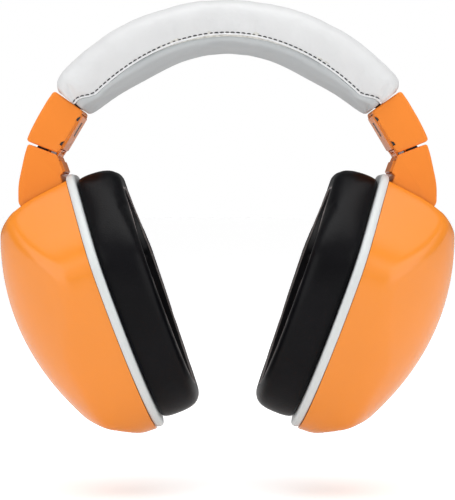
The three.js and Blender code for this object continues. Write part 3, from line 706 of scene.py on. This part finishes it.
STITCH_PITCH, STITCH_LENGTH = 1.9, 1.35
THREAD_RISE, THREAD_R, PIPING_R = 0.65, 0.2, 0.36


def seam_line(rows, front, rise):
    """Points on the white cover at a height above the seam, one in each section."""
    line = []
    for row in rows:
        column = row[UPPER - 1::-1] if front else row[:UPPER]
        r = np.hypot(column[:, 0], column[:, 2] - ARCH_Z)[:12]
        r = np.maximum.accumulate(r - r[0]) + np.arange(12) * 1e-6
        line.append([np.interp(rise, r, column[:12, axis]) for axis in range(3)])
    return np.array(line)


def stitching(rows):
    """Thread just above the seam and a thin piping in it, along the front and the back of the headband."""
    threads, pipes = [], []
    rows = rows[2:-2]
    for front in (True, False):
        line = seam_line(rows, front, THREAD_RISE)
        steps = np.linalg.norm(np.diff(line, axis=0), axis=1)
        travelled = np.concatenate([[0], np.cumsum(steps)])
        outward = np.array([0, -1 if front else 1, 0])
        for k in range(int(travelled[-1] / STITCH_PITCH)):
            path = []
            for t in np.linspace(0, 1, 5):
                at = k * STITCH_PITCH + STITCH_LENGTH * t
                middle = np.array([np.interp(at, travelled, line[:, axis]) for axis in range(3)])
                path.append(middle + outward * (0.16 - 0.36 * (2 * t - 1) ** 2))
            threads.append(tube(path, THREAD_R, 6))
        pipes.append(tube(seam_line(rows, front, 0.12) + outward * 0.12, PIPING_R, 8))
    for name, parts, slot in (("headband_stitching", threads, "stitch_thread"),
                              ("headband_piping", pipes, "white_piping")):
        piece = new_object(name, *merge(parts))
        finish_piece(piece, slot, "headband")


CUSHION_AROUND = 176
LIP_COLUMN, WELT_R = 28, 0.4
FOAM_INSET, FOAM_RIM_X, FOAM_DISH, FOAM_THICKNESS = 11.2, 0.2, 1.4, 1.8
CUSHION_SECTION = [(2.6, -3.4), (1.9, -4.4), (1.5, -6.5), (1.5, -10), (1.8, -13.5), (2.9, -16.6),
                   (5.4, -18.5), (8.6, -18.9), (11.2, -17.6), (12.7, -14.8), (13.3, -11), (13.6, -7),
                   (13.6, -3.4), (12.4, -3.4),
                   (8, -3.4), (3.8, -3.4)]


def cushion_shape():
    """The right cushion: a skin that is drawn in where it meets its plate, and swells round the ear."""
    section = chaikin(CUSHION_SECTION, 2)
    rows = ring_rows(section, CUSHION_AROUND)
    n, m = rows.shape[:2]
    faces = grid_faces(n, m, loop=True)
    depth = section[:, 1]
    back = np.flatnonzero(depth > -4.6)
    pinned = [i * m + j for i in range(n) for j in back]
    points = inflate(rows.reshape(-1, 3), faces, pinned, pressure=CUSHION_PRESSURE, growth=0.0, cap=0.9)
    return points, faces


PAD_PRESSURE, CUSHION_PRESSURE = 1.0, 3.0


def cushion(name, side, shape):
    """The skin of a cushion, and the welt of its seam round the hole, coloured a lighter brown-grey that
    paints the highlight along the rim of the hole.
    """
    points, faces = shape
    rows = np.asarray(points).reshape(CUSHION_AROUND, -1, 3)
    # The welt runs round the rim of the hole; its light colour paints the highlight that the rim catches,
    # on top of the real seam ridge.
    loop = rows[:, LIP_COLUMN]
    loop = np.vstack([loop, loop[:2]])
    welt = new_object(f"{name}_cushion_welt_painted_highlight", *tube(loop, WELT_R, 6), side)
    finish_piece(welt, "welt_seam_painted_highlight", f"{name}_cup")
    skin = new_object(f"{name}_cushion", points, faces, side)
    finish_piece(skin, "black_leatherette", f"{name}_cup", [f"{name}_cushion_skin"])


FOAM_AROUND, FOAM_RINGS = 96, 8


def foam_cover(name, side):
    """The dished sheet of foam that closes the cup behind the hole of its cushion."""
    theta = 2 * np.pi * (np.arange(FOAM_AROUND) + 0.5) / FOAM_AROUND
    edge = rim_radius(theta) - FOAM_INSET
    rows = []
    front = [(k, 0) for k in range(1, FOAM_RINGS + 1)]
    for k, back in front + [(k, 1) for k, _ in reversed(front)]:
        share = k / FOAM_RINGS
        x = FOAM_RIM_X + FOAM_DISH * (1 - share**2) + FOAM_THICKNESS * back
        r = edge * share
        z = CUP_WIDEST_Z + r * np.sin(theta)
        rows.append(np.stack([np.full(FOAM_AROUND, x), r * np.cos(theta), z], axis=1))
    rows = in_cup(np.array(rows))
    faces = grid_faces(len(rows), FOAM_AROUND, caps=True)
    sheet = new_object(f"{name}_foam_cover", rows.reshape(-1, 3), faces, side)
    crease_normals(sheet, 50)
    finish_piece(sheet, "cushion_foam", f"{name}_cup")


# ------------------------------------------------------------------ hard pieces
SEAT_HEIGHT, SEAT_SLOPE, SEAT_ROOM = 43.6, 0.123, 1.5


def foot_z(x):
    """Height of the arm's foot, in the cup's frame."""
    return SEAT_HEIGHT - SEAT_SLOPE * x


def seat_z(x):
    """Height of the seat in the cup's top, in the cup's frame."""
    return foot_z(x) - SEAT_ROOM


def ear_cup(name, side):
    cup = build_cup(name, side)
    floor_top = [(23.2, seat_z(23.2)), (0.6, seat_z(0.6))]
    floor = prism("floor", [(0.6, 39.5), (22, 36.5), *floor_top], -14, 14, 0, CUP_MATRIX, side)
    carve(cup, [floor], "UNION")
    seat_sides = [(-1, seat_z(-1)), (20.8, seat_z(20.8)), (20.8, 60), (-1, 60)]
    seat = prism("seat", seat_sides, -13, 13, 0, CUP_MATRIX, side)
    slot = prism("slot", [(4.0, 31.6), (13.8, 31.6), (13.8, 50), (4.0, 50)], -4.5, 4.5, 0, CUP_MATRIX, side)
    carve(cup, [seat, slot])
    crease_normals(cup, 32)
    finish_piece(cup, "orange_plastic", f"{name}_cup", [f"{name}_cup_shell"])

    section = chaikin([
        (-0.05, -0.06), (-0.75, -0.6), (-0.95, -2.0), (-0.3, -3.1), (1.5, -3.1), (10.5, -3.1),
        (10.5, -0.8), (5.0, -0.6), (5.0, 0.8), (3.5, 0.8), (3.5, -0.06),
    ], 2)
    rows = ring_rows(section)
    faces = grid_faces(len(rows), len(section), loop=True)
    ring = new_object(f"{name}_trim", rows.reshape(-1, 3), faces, side)
    crease_normals(ring, 40)
    finish_piece(ring, "trim_plastic", f"{name}_cup", [f"{name}_cup_trim_ring"])


ROD_SIDES = 24


def rod(name, r, y0, y1, at, matrix, side):
    """A round bar along y through at = (x, z)."""
    outline = [(at[0] + r * math.cos(a), at[1] + r * math.sin(a))
               for a in np.linspace(0, 2 * math.pi, ROD_SIDES, endpoint=False)]
    return prism(name, outline, y0, y1, 0, matrix, side)


def box_outline(x0, x1, z0, z1):
    return [(x0, z0), (x1, z0), (x1, z1), (x0, z1)]


SLIDE_ANGLE = math.radians(56)
SLIDE_R = 70  # the slide's origin, from the arch's centre
SLIDE_ORIGIN = (SLIDE_R * math.sin(SLIDE_ANGLE), 0, ARCH_Z + SLIDE_R * math.cos(SLIDE_ANGLE))
SLIDE_TURN = Matrix.Rotation(SLIDE_ANGLE - math.pi / 2, 4, "Y")
SLIDE_MATRIX = Matrix.Translation(SLIDE_ORIGIN) @ SLIDE_TURN
HALF_WIDTH = 12.2
PLATE_HALF_WIDTH = 10.5
PLATE_GAP = 0.6
HINGE = (-4.0, -11.4)
HINGE_IN_CUP = CUP_MATRIX.inverted() @ SLIDE_MATRIX @ Vector((HINGE[0], 0, HINGE[1]))
KNUCKLE_R, KNUCKLE_SPLIT, KNUCKLE_END = 1.9, 6.0, 9.4
NOTCHES = (3.4, -6.9)  # catches of the block's cover, along the seam
WINDOW_Z, WINDOW_HALF_WIDTH = (-2.8, 2.8), 2.5


def end_block(name, side):
    """The block's shell and its cover, with the seam, the catches and the slit of its inner side."""
    body = rounded([
        (-4.8, 6.5), (7.75, 6.8), (7.85, 2.5), (7.45, -4), (6.9, -9), (6.1, -13.2), (-5.7, -10.6),
    ], 1.3)
    shell = prism(f"{name}_block", body, -HALF_WIDTH, HALF_WIDTH, 1.0, SLIDE_MATRIX, side, 4)
    edge = PLATE_HALF_WIDTH + PLATE_GAP
    cutters = [
        prism("seat", [(-9, 5.5), (-2.4, 5.5), (-2.4, -9.1), (-9, -9.1)], -edge, edge, 0,
              SLIDE_MATRIX, side),
        prism("pocket", box_outline(-9, 3.6, -7.4, 4.6), -9.5, 9.5, 0, SLIDE_MATRIX, side),
        prism("mouth", box_outline(-1.2, 1.2, 0, 9), -7.3, 7.3, 0, SLIDE_MATRIX, side),
        rod("room", KNUCKLE_R + 0.5, -KNUCKLE_SPLIT - 0.3, KNUCKLE_SPLIT + 0.3, HINGE,
            SLIDE_MATRIX, side),
    ]
    for z in NOTCHES:
        for end in (-1, 1):
            y0, y1 = sorted((end * (edge - 0.5), end * (HALF_WIDTH + 1)))
            outline = [(-9, z + 1.05), (-5.1, z + 1.05), (-4.35, z + 0.2), (-4.35, z - 0.95),
                       (-9, z - 1.05)]
            cutters.append(prism("notch", outline, y0, y1, 0, SLIDE_MATRIX, side))
    carve(shell, cutters)
    ears = []
    for end in (-1, 1):
        y0, y1 = sorted((end * KNUCKLE_SPLIT, end * KNUCKLE_END))
        ears.append(rod("ear", KNUCKLE_R, y0, y1, HINGE, SLIDE_MATRIX, side))
        outline = box_outline(HINGE[0] - KNUCKLE_R + 0.1, HINGE[0] + KNUCKLE_R, HINGE[1], HINGE[1] + 2.4)
        ears.append(prism("web", outline, y0, y1, 0, SLIDE_MATRIX, side))
    carve(shell, ears, "UNION")
    carve(shell, [rod("bore", 1.3, -KNUCKLE_END - 1, KNUCKLE_END + 1, HINGE, SLIDE_MATRIX, side)])
    crease_normals(shell, 30)
    finish_piece(shell, "orange_satin", f"{name}_slider", [f"{name}_end_block_shell"])

    outline = rounded([(-5.35, 5.2), (-2.7, 5.2), (-2.7, -8.8), (-6.15, -8.8)], 0.7)
    plate = prism(f"{name}_block_cover", outline, -PLATE_HALF_WIDTH, PLATE_HALF_WIDTH, 0.5,
                  SLIDE_MATRIX, side)
    window = box_outline(-9, -3.6, *WINDOW_Z)
    carve(plate, [prism("window", window, -WINDOW_HALF_WIDTH, WINDOW_HALF_WIDTH, 0, SLIDE_MATRIX, side)])
    crease_normals(plate, 30)
    finish_piece(plate, "orange_satin", f"{name}_slider", [f"{name}_end_block_cover"])


def block_inserts(name, side):
    """The lip above the arm, made black so that it paints the shade inside the gap between the block and
    the arm; the catches of the cover, and the plug in its window.
    """
    # The lip closes the gap above the arm, and its black is painted shade that stands in for the dark
    # inside of that gap.
    parts = [("lip", box_outline(-1.4, 1.9, -13.7, -9.5), 0.0, 18.8)]
    half = WINDOW_HALF_WIDTH - 0.06
    low, high = WINDOW_Z[0] + 0.06, WINDOW_Z[1] - 0.06
    parts.append(("plug", [(-5.75, low), (-5.43, high), (-3.7, high), (-3.7, low)], 0.0, 2 * half))
    for i, z in enumerate(NOTCHES):
        outline = [(-5.1, z + 0.95), (-4.45, z + 0.15), (-4.45, z - 0.85), (-5.1, z - 0.95)]
        for end, word in ((-1, "front"), (1, "back")):
            parts.append((f"catch_{word}_{i + 1}", outline, end * (HALF_WIDTH - 0.75), 0.9))
    for part, outline, middle, width in parts:
        y0, y1 = middle - width / 2, middle + width / 2
        insert = prism(f"{name}_block_{part}", outline, y0, y1, 0, SLIDE_MATRIX, side)
        finish_piece(insert, "black_plastic", f"{name}_slider")


def folding_arm(name, side):
    outline = rounded([
        (1.35, foot_z(1.35), 0.7), (1.35, 48, 0.5), (-0.2, 48.6, 0.6), (-0.1, 55.1, 0.8), (8.2, 62.2, 1.1),
        (10.6, 59, 1.5), (16.3, 49.8, 5), (18.4, 43.6, 1.2), (17.6, foot_z(17.6), 0.6),
    ], 1)
    shell = prism(f"{name}_arm", outline, -HALF_WIDTH, HALF_WIDTH, 0.9, CUP_MATRIX, side, 4)
    at = (HINGE_IN_CUP.x, HINGE_IN_CUP.z)
    edge = PLATE_HALF_WIDTH + PLATE_GAP
    cutters = [prism("seat", box_outline(-2, 1.5, 48.5, 53.3), -edge, edge, 0, CUP_MATRIX, side)]
    for end in (-1, 1):
        y0, y1 = sorted((end * (KNUCKLE_SPLIT - 0.3), end * (KNUCKLE_END + 0.3)))
        cutters.append(rod("room", KNUCKLE_R + 0.5, y0, y1, at, CUP_MATRIX, side))
    cutters.append(prism("recess", box_outline(-1.8, 2.4, -14.8, -11), -9.9, 9.9, 0, SLIDE_MATRIX, side))
    carve(shell, cutters)
    inner = KNUCKLE_SPLIT - 0.3
    carve(shell, [
        rod("lug", 3.6, -4, 4, (8.9, 36), CUP_MATRIX, side),
        prism("neck", box_outline(5.3, 12.5, 36, 45), -4, 4, 0, CUP_MATRIX, side),
        rod("knuckle", KNUCKLE_R, -inner, inner, at, CUP_MATRIX, side),
        prism("web", box_outline(at[0] - 1.2, at[0] + KNUCKLE_R, at[1] - 2.4, at[1]), -inner, inner, 0,
              CUP_MATRIX, side),
    ], "UNION")
    carve(shell, [rod("bore", 1.3, -KNUCKLE_END, KNUCKLE_END, at, CUP_MATRIX, side),
                  rod("pivot", 1.6, -5, 5, (8.9, 36), CUP_MATRIX, side)])
    crease_normals(shell, 30)
    finish_piece(shell, "orange_satin", f"{name}_arm", [f"{name}_arm_shell"])

    outline = rounded(box_outline(-0.7, 1.2, 48.8, 53.0), 0.5)
    plate = prism(f"{name}_arm_cover", outline, -PLATE_HALF_WIDTH, PLATE_HALF_WIDTH, 0.3, CUP_MATRIX, side)
    slits = [prism("slit", box_outline(-2, 0.4, 50.4, 54), y - 0.25, y + 0.25, 0, CUP_MATRIX, side)
             for y in (-8.4, -3.2, 3.2, 8.4)]
    carve(plate, slits)
    crease_normals(plate, 30)
    finish_piece(plate, "orange_satin", f"{name}_arm", [f"{name}_arm_cover"])


# ------------------------------------------------------------------ build
camera()
studio()
band_rows = headband()
stitching(band_rows)
cushion_skin = cushion_shape()
for name, side in SIDES.items():
    ear_cup(name, side)
    cushion(name, side, cushion_skin)
    foam_cover(name, side)
    end_block(name, side)
    block_inserts(name, side)
    folding_arm(name, side)

SLOT_OF = {s["node"]: s["material_slot"] for s in frame["record"]["subparts"]}
for node, obj in frame["nodes"].items():
    obj.data.materials.clear()
    obj.data.materials.append(MATERIALS[SLOT_OF[node]])
